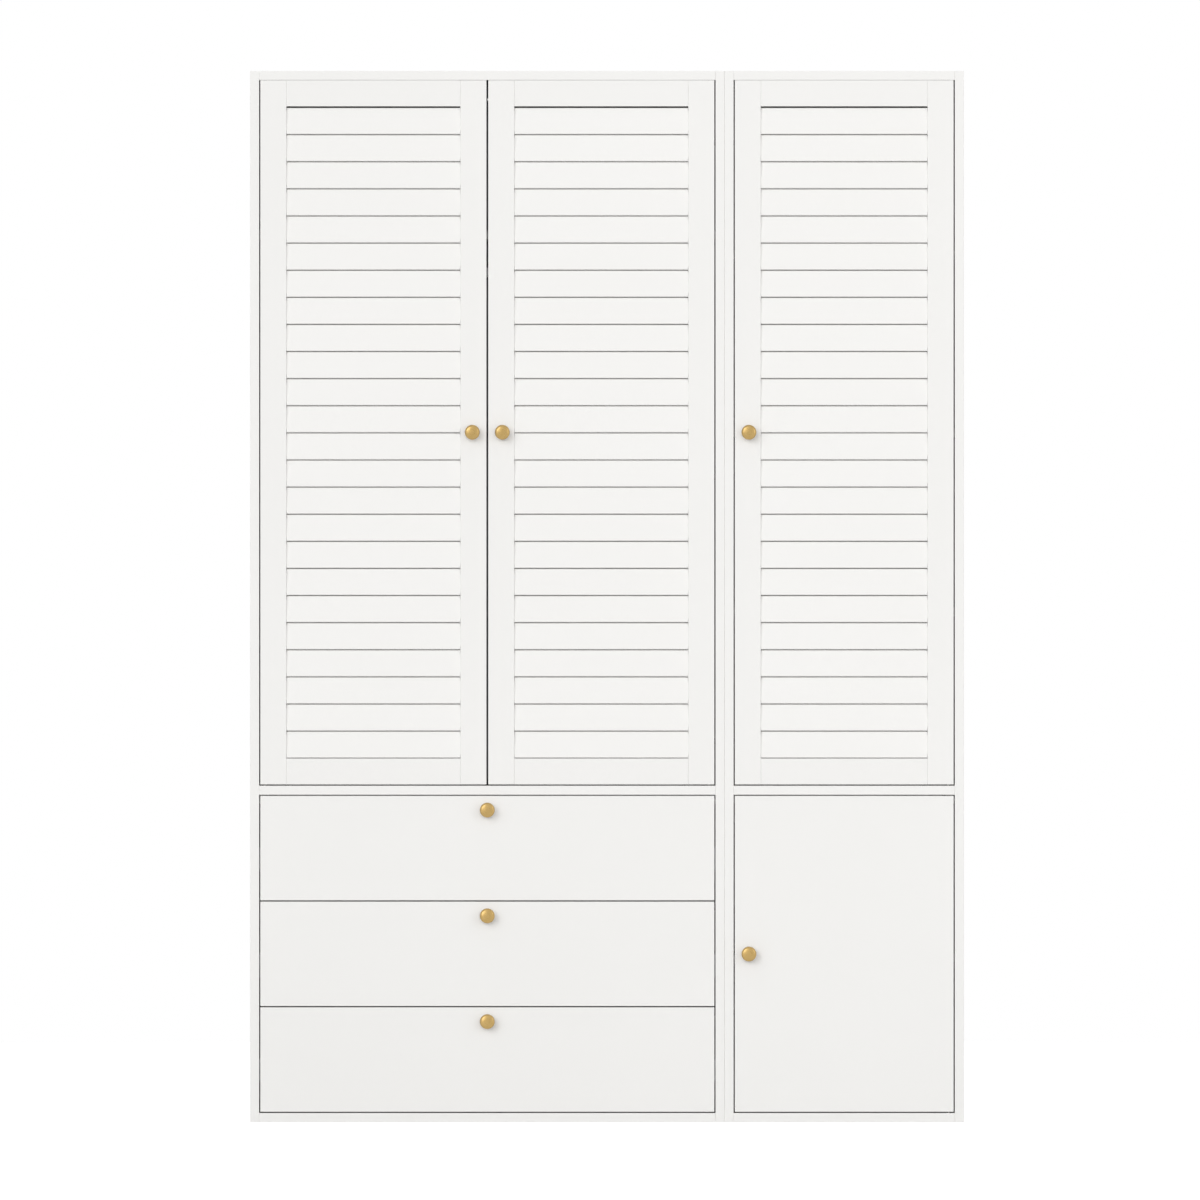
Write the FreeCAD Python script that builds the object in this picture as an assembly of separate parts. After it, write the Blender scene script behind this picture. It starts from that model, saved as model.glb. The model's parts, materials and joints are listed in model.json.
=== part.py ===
import FreeCAD, Part
import os

# Louvred door cabinet. Four carcasses, two wide and two high, make one tall storage press.
# The wide column is a wardrobe over a chest of three drawers. The narrow column is a
# cupboard over a locker. The three tall doors are louvred, the fronts below them are plain.
# Millimetres. X runs to the right, Y from the front to the wall, Z up.
# The origin lies on the floor, under the middle of the cabinet.

V = FreeCAD.Vector

# ---------------------------------------------------------------- driving dimensions

# Carcasses
WIDE_WIDTH = 948.0
NARROW_WIDTH = 478.0
LOWER_HEIGHT = 654.0
UPPER_HEIGHT = 1446.0
DEPTH = 580.0
BOARD = 18.0
LOWER_TOP_SETBACK = 24.0  # the lower carcasses' tops stand back behind the fronts

# Back boards, slid into grooves
BACK_BOARD = 6.0
BACK_INSET = 10.0
GROOVE_DEPTH = 8.0
FIT = 0.2  # gap all round a piece that sits in a groove, housing or mortise

# Shelves, housed in the sides
SHELF_SETBACK = 30.0
HOUSING_DEPTH = 6.0
HAT_SHELF_DROP = 300.0
CUPBOARD_SHELVES = 3
LOCKER_SHELVES = 1

# Hanging rail
TUBE_HEIGHT = 30.0
TUBE_WIDTH = 15.0
TUBE_WALL = 1.2
TUBE_DROP = 45.0  # from the hat shelf to the top of the rail
SOCKET_WALL = 3.0
SOCKET_LENGTH = 12.0
SOCKET_FLOOR = 3.0

# Fronts
FRONT_BOARD = 18.0
SIDE_GAP = 2.4
MEETING_GAP = 3.6
HEAD_GAP = 0.5
FOOT_GAP = 2.4
FRONT_GAP = 2.4
DRAWER_COUNT = 3

# Louvred door frames
STILE = 52.0
DOOR_RAIL = 52.0
RAIL_TENON_LENGTH = 20.0
RAIL_TENON_THICKNESS = 8.0
RAIL_TENON_SHOULDER = 9.0

# Louvre slats: each leans back at its head and stands out at its foot
SLAT_COUNT = 24
SLAT_THICKNESS = 8.0
SLAT_SLIT = 1.8
SLAT_FOOT_GAP = 1.6
SLAT_HEAD_GAP = 3.0
SLAT_FOOT_RECESS = 1.2
SLAT_HEAD_RECESS = 7.0
SLAT_TENON_LENGTH = 8.0
SLAT_TENON_SHOULDER = 8.0
SLAT_EASE = 1.0

# Pivot hinges: a pin on the carcass leaf turns in the door leaf
PIVOT_INSET = 10.0
PIVOT_SETBACK = 6.0
PIN_RADIUS = 2.5
PIN_PLAY = 0.05
PIN_END_PLAY = 0.3
LEAF_WIDTH = 8.0
LEAF_THICKNESS = 2.5
LEAF_BORE = 1.8  # the foot pin bears on the end of this bore and carries the door
LEAF_TAIL = 34.0
LEAF_NOSE = 5.0
ARM_THICKNESS = 1.5
ARM_WIDTH = 16.0
ARM_REACH = 40.0

# Magnetic catches
CATCH_WIDTH = 40.0
CATCH_HEIGHT = 14.0
CATCH_DEPTH = 16.0
STRIKE_WIDTH = 24.0
STRIKE_HEIGHT = 10.0
STRIKE_THICKNESS = 1.2
STRIKE_GAP = 0.3

# Turned knobs
KNOB_RADIUS = 15.0
KNOB_PROJECTION = 24.0
KNOB_HEAD = 7.0
KNOB_NECK_RADIUS = 6.0
KNOB_INSET = 28.2

# Drawer boxes
DRAWER_BOARD = 12.0
DRAWER_BOX_HEIGHT = 150.0
DRAWER_BOX_LIFT = 22.0
DRAWER_BOTTOM = 5.0
DRAWER_BOTTOM_LIFT = 10.0
DRAWER_GROOVE = 6.0

# Full-extension slides: three nested channels on each side of a drawer
SLIDE_SPACE = 13.0
SLIDE_HEIGHT = 45.0
SLIDE_WALL = 1.2
SLIDE_PLAY = 0.3
SLIDE_FLANGE = 8.5
SLIDE_LIFT = 37.0
SLIDE_SETBACK = 2.0
SLIDE_REAR_SPACE = 44.0

# Wall brackets, inside under the tops
BRACKET_WIDTH = 30.0
BRACKET_LEG = 50.0
BRACKET_THICKNESS = 2.5
BRACKET_HOLE_RADIUS = 3.0

# ---------------------------------------------------------------- planes worked out from them

LEFT = -(WIDE_WIDTH + NARROW_WIDTH) / 2
SEAM = LEFT + WIDE_WIDTH
RIGHT = SEAM + NARROW_WIDTH
TOP = LOWER_HEIGHT + UPPER_HEIGHT
FRONT = -DEPTH / 2
REAR = DEPTH / 2
FRONTS_BACK = FRONT + FRONT_BOARD
BACK_FACE = REAR - BACK_INSET - BACK_BOARD
FRONTS_Y = (FRONT, FRONTS_BACK)

nodes = {}


def keep(name, *solids):
    """Stores one named piece, or a group of like pieces."""
    nodes[name] = solids[0] if len(solids) == 1 else Part.makeCompound(list(solids))


# ---------------------------------------------------------------- shapes used all over


def block(x, y, z):
    """A squared board, from its low and high value on each axis."""
    return Part.makeBox(x[1] - x[0], y[1] - y[0], z[1] - z[0], V(x[0], y[0], z[0]))


def recess(x, y, z):
    """The room that a squared board needs in a groove, housing or mortise."""
    return block((x[0] - FIT, x[1] + FIT), (y[0] - FIT, y[1] + FIT), (z[0] - FIT, z[1] + FIT))


def span(start, length):
    """The low and high value of a length that may run either way from its start."""
    return (min(start, start + length), max(start, start + length))


def rod(x, y, start, length, radius):
    """An upright round bar, from its start up, or down where the length is negative."""
    low, high = span(start, length)
    return Part.makeCylinder(radius, high - low, V(x, y, low))


def oval(height, width, x, length, y, z):
    """A bar of flat-sided oval section along X, centred on y and z."""
    r = width / 2
    reach = height / 2 - r
    head = Part.Arc(V(x, y - r, z + reach), V(x, y, z + reach + r), V(x, y + r, z + reach))
    foot = Part.Arc(V(x, y + r, z - reach), V(x, y, z - reach - r), V(x, y - r, z - reach))
    down = Part.makeLine(V(x, y + r, z + reach), V(x, y + r, z - reach))
    up = Part.makeLine(V(x, y - r, z - reach), V(x, y - r, z + reach))
    outline = Part.Wire([head.toShape(), down, foot.toShape(), up])
    return Part.Face(outline).extrude(V(length, 0, 0))


# ---------------------------------------------------------------- carcasses


class Carcass:
    """Two sides with a top and a bottom between them, and a back board in grooves."""

    def __init__(self, name, left, right, base, head, top_setback, shelf_tops):
        self.name = name
        self.left = left
        self.right = right
        self.base = base
        self.head = head
        self.opening = (left + BOARD, right - BOARD)
        self.floor = base + BOARD
        self.ceiling = head - BOARD
        self.middle = (left + right) / 2
        self.top_front = FRONT + top_setback
        self.back = (
            (self.opening[0] - GROOVE_DEPTH + FIT, self.opening[1] + GROOVE_DEPTH - FIT),
            (BACK_FACE, BACK_FACE + BACK_BOARD),
            (self.floor - GROOVE_DEPTH + FIT, self.ceiling + GROOVE_DEPTH - FIT),
        )
        self.shelves = [
            (
                (self.opening[0] - HOUSING_DEPTH + FIT, self.opening[1] + HOUSING_DEPTH - FIT),
                (FRONT + SHELF_SETBACK, BACK_FACE - FIT),
                (top - BOARD, top),
            )
            for top in shelf_tops
        ]
        self.let_in = []  # hinge leaves set flush in the top and the bottom

    def build(self):
        """Stores the two sides, the top and the bottom."""
        rooms = [recess(*self.back)] + [recess(*shelf) for shelf in self.shelves]
        height = (self.base, self.head)
        left_side = block((self.left, self.opening[0]), (FRONT, REAR), height)
        right_side = block((self.opening[1], self.right), (FRONT, REAR), height)
        keep(self.name + "_left_side", left_side.cut(rooms))
        keep(self.name + "_right_side", right_side.cut(rooms))
        cuts = [rooms[0]] + self.let_in
        top = block(self.opening, (self.top_front, REAR), (self.ceiling, self.head))
        bottom = block(self.opening, (FRONT, REAR), (self.base, self.floor))
        keep(self.name + "_top", top.cut(cuts))
        keep(self.name + "_bottom", bottom.cut(cuts))


def even_shelves(floor, ceiling, count):
    """Heights of shelf tops that share a compartment out evenly."""
    clear = (ceiling - floor - count * BOARD) / (count + 1)
    return [floor + (i + 1) * (clear + BOARD) for i in range(count)]


hat_shelf_top = TOP - BOARD - HAT_SHELF_DROP
cupboard_tops = even_shelves(LOWER_HEIGHT + BOARD, TOP - BOARD, CUPBOARD_SHELVES)
locker_tops = even_shelves(BOARD, LOWER_HEIGHT - BOARD, LOCKER_SHELVES)

wardrobe = Carcass("wardrobe", LEFT, SEAM, LOWER_HEIGHT, TOP, 0, [hat_shelf_top])
cupboard = Carcass("cupboard", SEAM, RIGHT, LOWER_HEIGHT, TOP, 0, cupboard_tops)
chest = Carcass("chest", LEFT, SEAM, 0, LOWER_HEIGHT, LOWER_TOP_SETBACK, [])
locker = Carcass("locker", SEAM, RIGHT, 0, LOWER_HEIGHT, LOWER_TOP_SETBACK, locker_tops)
carcasses = [wardrobe, cupboard, chest, locker]

# ---------------------------------------------------------------- pivot hinges and catches

pivot_y = FRONT + PIVOT_SETBACK
leaf_y = (pivot_y - LEAF_WIDTH / 2, pivot_y + LEAF_WIDTH / 2)
carcass_leaves = []
catches = []


def leaf_extent(pivot_x, inward, face, into):
    """A hinge leaf let flush into a face, its tail pointing away from the hinge side."""
    start = pivot_x - inward * LEAF_NOSE
    x = span(start, inward * (LEAF_NOSE + LEAF_TAIL))
    return (x, leaf_y, span(face, into * LEAF_THICKNESS))


def hang(carcass, pivot_x, inward, foot, head):
    """Hinges one door. Gives the door's two leaves, and the rooms that they need.

    inward is +1 where the door reaches to the right of its pivot, and -1 where it reaches
    to the left. foot and head are the door's lower and upper edges.
    """
    foot_leaf = leaf_extent(pivot_x, inward, carcass.floor, -1)
    foot_pin = rod(pivot_x, pivot_y, carcass.floor, foot - carcass.floor + LEAF_BORE, PIN_RADIUS)
    if carcass.top_front > FRONT:
        # The top stands back behind the door, so an arm let into it reaches over the door.
        arm_x = (pivot_x - ARM_WIDTH / 2, pivot_x + ARM_WIDTH / 2)
        arm_y = (leaf_y[0], carcass.top_front + ARM_REACH)
        head_leaf = (arm_x, arm_y, (carcass.head - ARM_THICKNESS, carcass.head))
    else:
        head_leaf = leaf_extent(pivot_x, inward, carcass.ceiling, 1)
    pin_top = head_leaf[2][0]
    head_pin = rod(pivot_x, pivot_y, pin_top, head - LEAF_BORE + PIN_END_PLAY - pin_top, PIN_RADIUS)
    for leaf, pin in ((foot_leaf, foot_pin), (head_leaf, head_pin)):
        carcass.let_in.append(recess(*leaf))
        carcass_leaves.append(block(*leaf).fuse(pin).removeSplitter())

    leaves = []
    rooms = []
    for edge, into in ((foot, 1), (head, -1)):
        extent = leaf_extent(pivot_x, inward, edge, into)
        bore = rod(pivot_x, pivot_y, edge, into * LEAF_BORE, PIN_RADIUS + PIN_PLAY)
        leaves.append(block(*extent).cut(bore))
        rooms.append(recess(*extent))
    return leaves, rooms


def catch(carcass, x):
    """Stores a magnetic catch under the top, and gives the strike plate on the door."""
    face = FRONTS_BACK + STRIKE_THICKNESS + STRIKE_GAP
    width = (x - CATCH_WIDTH / 2, x + CATCH_WIDTH / 2)
    height = (carcass.ceiling - CATCH_HEIGHT, carcass.ceiling)
    catches.append(block(width, (face, face + CATCH_DEPTH), height))
    middle = carcass.ceiling - CATCH_HEIGHT / 2
    plate_z = (middle - STRIKE_HEIGHT / 2, middle + STRIKE_HEIGHT / 2)
    plate_x = (x - STRIKE_WIDTH / 2, x + STRIKE_WIDTH / 2)
    return block(plate_x, (FRONTS_BACK, FRONTS_BACK + STRIKE_THICKNESS), plate_z)


# ---------------------------------------------------------------- knobs


def knob(x, z):
    """A turned knob: a disc on a round neck that stands on the front."""
    backwards = V(0, 1, 0)
    face = V(x, FRONT - KNOB_PROJECTION, z)
    disc = Part.makeCylinder(KNOB_RADIUS, KNOB_HEAD, face, backwards)
    neck = Part.makeCylinder(KNOB_NECK_RADIUS, KNOB_PROJECTION, face, backwards)
    return disc.fuse(neck).removeSplitter()


# ---------------------------------------------------------------- louvred doors


def slat_section(x, foot, head, inset, ease, slack):
    """The outline of a leaning slat at x, in the plane across the slats.

    inset draws both edges in, ease takes the front corners off, and slack widens all of it.
    """
    rise = V(0, SLAT_HEAD_RECESS - SLAT_FOOT_RECESS, head - foot)
    length = rise.Length
    up = rise.normalize()
    inwards = V(0, up.z, -up.y)
    low = inset - slack
    high = length - inset + slack
    near = -slack
    far = SLAT_THICKNESS + slack
    corners = [(low, far), (low, near + ease), (low + ease, near)]
    corners += [(high - ease, near), (high, near + ease), (high, far)]
    start = V(x, FRONT + SLAT_FOOT_RECESS, foot)
    points = [start + up * along + inwards * across for along, across in corners]
    kept = [p for p, q in zip(points, points[1:] + points[:1]) if p.distanceToPoint(q) > 1e-6]
    return Part.Face(Part.makePolygon(kept + kept[:1]))


def slat_heights(foot, head):
    """The lower and upper front edge of every slat between a door's two rails."""
    room = head - foot - SLAT_FOOT_GAP - SLAT_HEAD_GAP - (SLAT_COUNT - 1) * SLAT_SLIT
    height = room / SLAT_COUNT
    starts = [foot + SLAT_FOOT_GAP + i * (height + SLAT_SLIT) for i in range(SLAT_COUNT)]
    return [(start, start + height) for start in starts]


def louvred_door(name, carcass, x, hinge_left):
    """A frame of two stiles and two rails, filled with leaning slats."""
    foot = carcass.floor + FOOT_GAP
    head = carcass.ceiling - HEAD_GAP
    inward = 1 if hinge_left else -1
    hinge_edge, free_edge = x if hinge_left else (x[1], x[0])
    pivot_x = hinge_edge + inward * PIVOT_INSET
    leaves, mortises = hang(carcass, pivot_x, inward, foot, head)
    strike = catch(carcass, free_edge - inward * STILE / 2)

    daylight = (x[0] + STILE, x[1] - STILE)
    rail_edges = (foot + DOOR_RAIL, head - DOOR_RAIL)
    tenon_y = FRONT + (FRONT_BOARD - RAIL_TENON_THICKNESS) / 2
    tenon_reach = RAIL_TENON_LENGTH - FIT
    rails = []
    for low in (foot, rail_edges[1]):
        tenon = (
            (daylight[0] - tenon_reach, daylight[1] + tenon_reach),
            (tenon_y, tenon_y + RAIL_TENON_THICKNESS),
            (low + RAIL_TENON_SHOULDER, low + DOOR_RAIL - RAIL_TENON_SHOULDER),
        )
        rails.append(block(daylight, FRONTS_Y, (low, low + DOOR_RAIL)).fuse(block(*tenon)))
        mortises.append(recess(*tenon))

    slats = []
    body = (daylight[0] + FIT, daylight[1] - FIT)
    reach = SLAT_TENON_LENGTH - FIT
    for low, high in slat_heights(*rail_edges):
        board = slat_section(body[0], low, high, 0, SLAT_EASE, 0)
        tenon = slat_section(daylight[0] - reach, low, high, SLAT_TENON_SHOULDER, 0, 0)
        room = slat_section(daylight[0] - SLAT_TENON_LENGTH, low, high, SLAT_TENON_SHOULDER, 0, FIT)
        width = daylight[1] - daylight[0]
        solid = board.extrude(V(body[1] - body[0], 0, 0))
        solid = solid.fuse(tenon.extrude(V(width + 2 * reach, 0, 0)))
        slats.append(solid.removeSplitter())
        mortises.append(room.extrude(V(width + 2 * SLAT_TENON_LENGTH, 0, 0)))

    for part, edge, turn in (("hinge", hinge_edge, inward), ("knob", free_edge, -inward)):
        stile = block(span(edge, turn * STILE), FRONTS_Y, (foot, head))
        keep(f"{name}_{part}_stile", stile.cut(mortises))
    keep(name + "_rails", *rails)
    keep(name + "_slats", *slats)
    keep(name + "_knob", knob(free_edge - inward * KNOB_INSET, (foot + head) / 2))
    keep(name + "_fittings", *leaves, strike)


# ---------------------------------------------------------------- plain door


def plain_door(name, carcass):
    """One flat board, hinged on the right."""
    x = (carcass.opening[0] + SIDE_GAP, carcass.opening[1] - SIDE_GAP)
    foot = carcass.floor + FOOT_GAP
    head = carcass.head - FRONT_GAP
    pivot_x = x[1] - PIVOT_INSET
    leaves, mortises = hang(carcass, pivot_x, -1, foot, head)
    strike = catch(carcass, x[0] + STILE / 2)
    panel = block(x, FRONTS_Y, (foot, head))
    keep(name + "_panel", panel.cut(mortises))
    keep(name + "_knob", knob(x[0] + KNOB_INSET, (foot + head) / 2))
    keep(name + "_fittings", *leaves, strike)


# ---------------------------------------------------------------- drawers

fixed_channels = []
slide_y = (FRONTS_BACK + SLIDE_SETBACK, BACK_FACE - SLIDE_REAR_SPACE)


def channel(wall_x, opens, depth, middle, height):
    """A slide channel: an upright web at wall_x, with flanges reaching the way it opens."""
    x = span(wall_x, opens * depth)
    z = (middle - height / 2, middle + height / 2)
    hollow_x = span(wall_x + opens * SLIDE_WALL, opens * depth)
    hollow_z = (z[0] + SLIDE_WALL, z[1] - SLIDE_WALL)
    return block(x, slide_y, z).cut(block(hollow_x, slide_y, hollow_z))


def slide(wall_x, inward, middle):
    """The fixed, middle and drawer channels of one slide, each running inside the last."""
    step = SLIDE_WALL + SLIDE_PLAY
    drawer_x = wall_x + inward * SLIDE_SPACE
    depth = SLIDE_SPACE - 2 * step
    fixed = channel(wall_x, inward, SLIDE_FLANGE, middle, SLIDE_HEIGHT)
    between = channel(wall_x + inward * step, inward, depth, middle, SLIDE_HEIGHT - 2 * step)
    on_drawer = channel(drawer_x, -inward, depth, middle, SLIDE_HEIGHT - 4 * step)
    return fixed, between, on_drawer


def drawer(name, foot, height):
    """A plain front screwed to a box of five boards, on a slide each side."""
    x = (chest.opening[0] + SIDE_GAP, chest.opening[1] - SIDE_GAP)
    head = foot + height
    keep(name + "_front", block(x, FRONTS_Y, (foot, head)))
    keep(name + "_knob", knob(chest.middle, head - KNOB_INSET))

    outer = (chest.opening[0] + SLIDE_SPACE, chest.opening[1] - SLIDE_SPACE)
    inner = (outer[0] + DRAWER_BOARD, outer[1] - DRAWER_BOARD)
    box_y = (FRONTS_BACK, slide_y[1])
    box_foot = foot + DRAWER_BOX_LIFT
    box_z = (box_foot, box_foot + DRAWER_BOX_HEIGHT)
    reach = DRAWER_GROOVE - FIT
    floor_z = (box_foot + DRAWER_BOTTOM_LIFT, box_foot + DRAWER_BOTTOM_LIFT + DRAWER_BOTTOM)
    floor_y = (box_y[0] + DRAWER_BOARD - reach, box_y[1] - DRAWER_BOARD + reach)
    floor = ((inner[0] - reach, inner[1] + reach), floor_y, floor_z)
    boards = [
        block((outer[0], inner[0]), box_y, box_z),
        block((inner[1], outer[1]), box_y, box_z),
        block(inner, (box_y[0], box_y[0] + DRAWER_BOARD), box_z),
        block(inner, (box_y[1] - DRAWER_BOARD, box_y[1]), box_z),
    ]
    keep(name + "_box", *[board.cut(recess(*floor)) for board in boards], block(*floor))

    middle = box_foot + SLIDE_LIFT + SLIDE_HEIGHT / 2
    left = slide(chest.opening[0], 1, middle)
    right = slide(chest.opening[1], -1, middle)
    fixed_channels.extend([left[0], right[0]])
    keep(name + "_middle_slides", left[1], right[1])
    keep(name + "_slides", left[2], right[2])


# ---------------------------------------------------------------- inside the upper carcasses


def hanging_rail(carcass, shelf):
    """An oval tube across the wardrobe, held at each end in a socket."""
    y = (shelf[1][0] + shelf[1][1]) / 2
    z = shelf[2][0] - TUBE_DROP - TUBE_HEIGHT / 2
    left, right = carcass.opening
    start = left + SOCKET_FLOOR
    length = right - left - 2 * SOCKET_FLOOR
    tube = oval(TUBE_HEIGHT, TUBE_WIDTH, start, length, y, z)
    bore = oval(TUBE_HEIGHT - 2 * TUBE_WALL, TUBE_WIDTH - 2 * TUBE_WALL, start, length, y, z)
    room = oval(TUBE_HEIGHT + 2 * FIT, TUBE_WIDTH + 2 * FIT, start, length, y, z)
    socket_height = TUBE_HEIGHT + 2 * SOCKET_WALL
    socket_width = TUBE_WIDTH + 2 * SOCKET_WALL
    sockets = [
        oval(socket_height, socket_width, x, SOCKET_LENGTH, y, z).cut(room)
        for x in (left, right - SOCKET_LENGTH)
    ]
    keep("hanging_rail", tube.cut(bore), *sockets)


def wall_screw_way(carcass):
    """The room of the wall screw, through the bracket and the back."""
    start = V(carcass.middle, BACK_FACE - BRACKET_LEG / 2, carcass.ceiling - BRACKET_LEG / 2)
    return Part.makeCylinder(BRACKET_HOLE_RADIUS, BRACKET_LEG, start, V(0, 1, 0))


def wall_bracket(carcass):
    """An angle under the top, with a hole for the screw that goes through the back to the wall."""
    x = (carcass.middle - BRACKET_WIDTH / 2, carcass.middle + BRACKET_WIDTH / 2)
    y = (BACK_FACE - FIT - BRACKET_LEG, BACK_FACE - FIT)
    z = (carcass.ceiling - BRACKET_LEG, carcass.ceiling)
    angle = block(x, y, z).cut(
        block(x, (y[0], y[1] - BRACKET_THICKNESS), (z[0], z[1] - BRACKET_THICKNESS))
    )
    return angle.cut(wall_screw_way(carcass))


# ---------------------------------------------------------------- the whole cabinet

pair_width = (wardrobe.opening[1] - wardrobe.opening[0] - 2 * SIDE_GAP - MEETING_GAP) / 2
left_x = span(wardrobe.opening[0] + SIDE_GAP, pair_width)
right_x = span(wardrobe.opening[1] - SIDE_GAP, -pair_width)
cupboard_x = (cupboard.opening[0] + SIDE_GAP, cupboard.opening[1] - SIDE_GAP)

louvred_door("left_door", wardrobe, left_x, True)
louvred_door("right_door", wardrobe, right_x, False)
louvred_door("cupboard_door", cupboard, cupboard_x, False)
plain_door("locker_door", locker)

drawers_foot = chest.floor + FOOT_GAP
drawers_height = chest.head - FRONT_GAP - drawers_foot
front_height = (drawers_height - (DRAWER_COUNT - 1) * FRONT_GAP) / DRAWER_COUNT
for i in range(DRAWER_COUNT):
    drawer(f"drawer_{i + 1}", drawers_foot + i * (front_height + FRONT_GAP), front_height)

for carcass in carcasses:
    carcass.build()

back_boards = [block(*carcass.back) for carcass in carcasses]
back_boards[0] = back_boards[0].cut(wall_screw_way(wardrobe))
back_boards[1] = back_boards[1].cut(wall_screw_way(cupboard))
keep("back_boards", *back_boards)
keep("shelves", *[block(*shelf) for carcass in carcasses for shelf in carcass.shelves])
hanging_rail(wardrobe, wardrobe.shelves[0])
keep("wall_brackets", wall_bracket(wardrobe), wall_bracket(cupboard))
keep("carcass_hinge_leaves", *carcass_leaves)
keep("door_catches", *catches)
keep("fixed_slides", *fixed_channels)

os.makedirs("parts", exist_ok=True)
for name, shape in nodes.items():
    shape.exportStep(os.path.join("parts", name + ".step"))
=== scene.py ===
# %% [markdown]
# # A tall louvred cabinet in white lacquer
#
# The construction is settled before this lesson starts: every board, slat, hinge and slide
# already has its size and its place. What is left is what a finisher and a fitter do. The
# boards get their eased edges and their lacquer, the knobs are turned, the screws go in,
# and the whole is stood on a pale studio floor and lit.

# %% Load the construction
import json
import math

import bmesh
import bpy
from mathutils import Matrix, Vector


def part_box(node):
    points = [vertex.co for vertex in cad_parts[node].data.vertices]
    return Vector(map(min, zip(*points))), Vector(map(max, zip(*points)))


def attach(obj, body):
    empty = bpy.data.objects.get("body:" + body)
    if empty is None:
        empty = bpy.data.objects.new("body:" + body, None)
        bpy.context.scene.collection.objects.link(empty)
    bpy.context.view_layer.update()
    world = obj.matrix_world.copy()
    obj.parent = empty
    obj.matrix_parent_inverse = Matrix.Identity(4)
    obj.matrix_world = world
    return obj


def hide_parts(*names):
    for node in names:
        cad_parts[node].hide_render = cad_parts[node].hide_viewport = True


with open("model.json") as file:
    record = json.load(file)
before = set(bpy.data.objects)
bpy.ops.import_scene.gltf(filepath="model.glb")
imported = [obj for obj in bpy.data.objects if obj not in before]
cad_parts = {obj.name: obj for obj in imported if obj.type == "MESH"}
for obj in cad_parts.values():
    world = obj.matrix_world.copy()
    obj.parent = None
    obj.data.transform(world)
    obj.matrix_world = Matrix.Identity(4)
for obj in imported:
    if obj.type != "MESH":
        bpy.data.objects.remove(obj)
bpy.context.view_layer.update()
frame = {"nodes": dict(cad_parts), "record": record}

# %% [markdown]
# Each piece belongs to a body, which is what turns or slides, and to a material slot, which
# says what it is made of. Both are in the record that came with the construction, so no
# piece has to be sorted by hand.

# %% Who moves with what
MM = 0.001
record = frame["record"]
bodies = record["behaviour"]["bodies"]
body_of = {node: body for body, members in bodies.items() for node in members}
slot_of = {part["node"]: part["material_slot"] for part in record["subparts"]}


def nodes_in(slot):
    """The names of the pieces that one material slot is for."""
    return sorted(node for node in slot_of if slot_of[node] == slot)


for slot in sorted(set(slot_of.values())):
    print(f"{slot}: {len(nodes_in(slot))} pieces")

# %% [markdown]
# ## Finishes
#
# A finish is a small network of nodes. Written node by node it is long and hard to read, so
# one class wraps a socket and lets Python's own signs stand for Math nodes: 1 - mask, or
# 0.3 + 0.1 * grain. Every other kind of node comes from a single method.

# %% Sockets that can be added and multiplied
class Wire:
    """A socket of a material's node tree. A sum on wires adds its own Math nodes."""

    def __init__(self, socket):
        self.socket = socket
        self.tree = socket.id_data

    def node(self, kind, settings=None, inputs=None, output=0):
        """Adds a node: first its settings, then a value or a wire for each of its sockets."""
        made = self.tree.nodes.new("ShaderNode" + kind)
        for name, value in (settings or {}).items():
            setattr(made, name, value)
        for name, value in (inputs or {}).items():
            if isinstance(value, Wire):
                self.tree.links.new(value.socket, made.inputs[name])
            else:
                made.inputs[name].default_value = value
        return Wire(made.outputs[output])

    def into(self, socket):
        """Feeds a socket of the finish's shader."""
        self.tree.links.new(self.socket, socket)

    def math(self, operation, first, second):
        return self.node("Math", {"operation": operation}, {0: first, 1: second})

    def __add__(self, other):
        return self.math("ADD", self, other)

    def __radd__(self, other):
        return self.math("ADD", other, self)

    def __sub__(self, other):
        return self.math("SUBTRACT", self, other)

    def __rsub__(self, other):
        return self.math("SUBTRACT", other, self)

    def __mul__(self, other):
        return self.math("MULTIPLY", self, other)

    def __rmul__(self, other):
        return self.math("MULTIPLY", other, self)


def noise(place, scale, detail=2.0, stretch=(1, 1, 1)):
    """Cloudy noise with a cell of about 1 / scale metres, finer along a stretched axis."""
    spread = place.node("Mapping", None, {"Vector": place, "Scale": stretch})
    return spread.node("TexNoise", None, {"Vector": spread, "Scale": scale, "Detail": detail})


def blend_colours(share, first, second):
    """The first colour where share is 0, and the second where it is 1."""
    return share.node("Mix", {"data_type": "RGBA"}, {0: share, 6: first, 7: second}, output=2)


def bump(height, depth):
    """A normal from a height between 0 and 1, over a real depth in metres."""
    return height.node("Bump", None, {"Height": height, "Strength": 1.0, "Distance": depth})


def new_finish(name, **constants):
    """A material, its shader with the constant sockets set, and its place in metres."""
    material = bpy.data.materials.new(name)
    material.use_nodes = True
    tree = material.node_tree
    shader = tree.nodes["Principled BSDF"]
    for socket, value in constants.items():
        shader.inputs[socket.replace("_", " ")].default_value = value
    place = Wire(tree.nodes.new("ShaderNodeTexCoord").outputs["Object"])
    return material, shader.inputs, place


print("wires ready")

# %% [markdown]
# The cabinet is sprayed in a satin off-white. A sprayed coat isn't one flat colour: it drifts
# a little over a board, its sheen is cloudy, and close to it has the fine dimples that are
# called orange peel. All three are slow or tiny next to a board, so none reads as a pattern.
# The faced boards inside are the same idea with less sheen and a finer, drier grain.

# %% Painted and faced boards
def painted(name, light, dark, rough, dimple, dimple_depth):
    """A white surface whose shade drifts between two near colours."""
    material, shader, place = new_finish(name)
    drift = noise(place, 2.5, detail=3.0)
    blend_colours(drift, dark, light).into(shader["Base Color"])
    sheen = noise(place, 14.0, detail=3.0)
    (rough - 0.05 + 0.1 * sheen).into(shader["Roughness"])
    bump(noise(place, dimple, detail=1.0), dimple_depth).into(shader["Normal"])
    return material


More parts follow.
